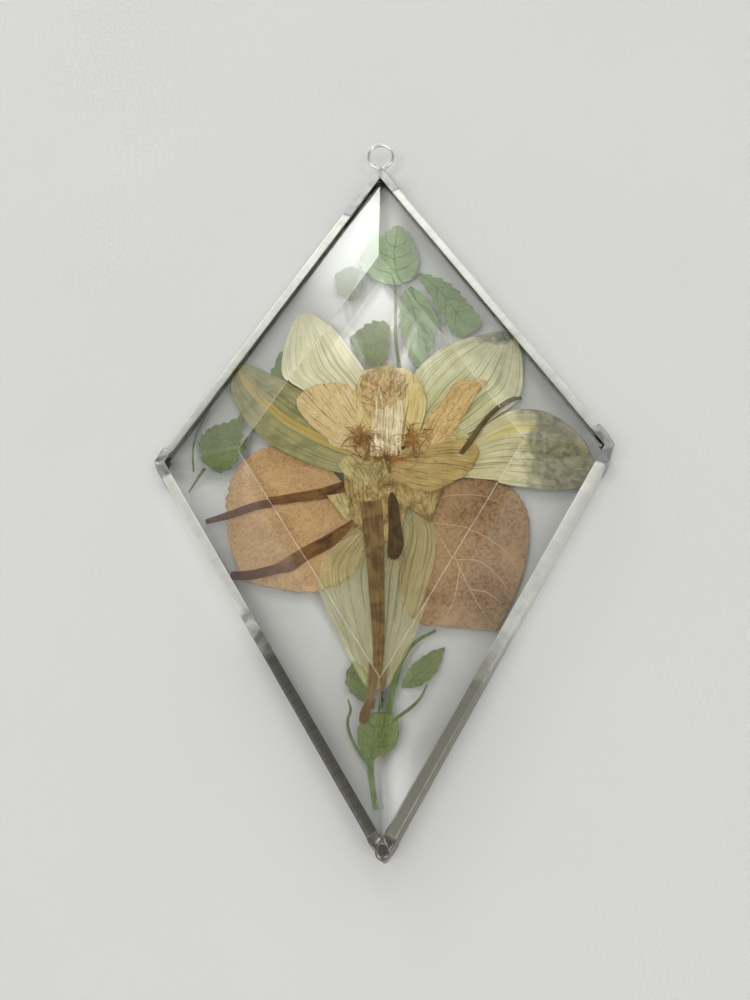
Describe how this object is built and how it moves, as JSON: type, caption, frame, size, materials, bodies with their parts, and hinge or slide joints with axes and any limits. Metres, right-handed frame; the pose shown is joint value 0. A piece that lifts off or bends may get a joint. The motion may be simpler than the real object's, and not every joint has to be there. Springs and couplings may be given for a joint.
{
  "type": "pressed flower suncatcher",
  "caption": "Diamond suncatcher: a pressed daffodil with leaves and green sprigs between a bevelled glass front and a flat back pane, in a soldered metal came frame with a wire hanging loop.",
  "frame": {"origin": "middle of the object's outline, hanging loop included, in the plane of the came's back lips that it lies on", "axes": "+Z out of the bevelled front, +Y along the long axis from the lower tip to the hanging loop, +X to the right seen from the front"},
  "size_m": [0.078, 0.1362, 0.0083],
  "materials": {
    "clear_glass": "polished",
    "came": "brushed",
    "solder": "satin",
    "wire": "satin",
    "tepal": "matte, translucent",
    "corona": "matte",
    "stamen": "matte",
    "stalk": "matte",
    "brown_leaf": "matte",
    "green_leaf": "matte, translucent"
  },
  "bodies": {
    "root": {"front_glass": "clear_glass", "back_glass": "clear_glass", "came_upper_left": "came", "came_upper_right": "came", "came_lower_left": "came", "came_lower_right": "came", "solder_top": "solder", "solder_bottom": "solder", "solder_left": "solder", "solder_right": "solder", "hanging_loop": "wire", "tepal_upper_left": "tepal", "tepal_left": "tepal", "tepal_upper_right": "tepal", "tepal_right": "tepal", "tepal_lower": "tepal", "corona": "corona", "stamens": "stamen", "flower_tube": "stalk", "ovary": "stalk", "flower_stem": "stalk", "stalk_upper": "stalk", "stalk_lower": "stalk", "curled_stalk": "stalk", "leaf_left": "brown_leaf", "leaf_right": "brown_leaf", "top_sprig_stem": "green_leaf", "top_sprig_tip_leaf": "green_leaf", "top_sprig_left_leaf": "green_leaf", "top_sprig_right_leaf": "green_leaf", "top_sprig_middle_leaf": "green_leaf", "top_sprig_lower_leaf": "green_leaf", "side_sprig_leaf": "green_leaf", "left_sprig_leaf": "green_leaf", "left_sprig_stem": "green_leaf", "left_sprig_tendril": "green_leaf", "lower_sprig_stem": "green_leaf", "lower_sprig_bract": "green_leaf", "lower_sprig_branch": "green_leaf", "lower_sprig_left_leaf": "green_leaf", "lower_sprig_right_leaf": "green_leaf", "lower_sprig_left_tendril": "green_leaf", "lower_sprig_right_tendril": "green_leaf"}
  },
  "joints": []
}
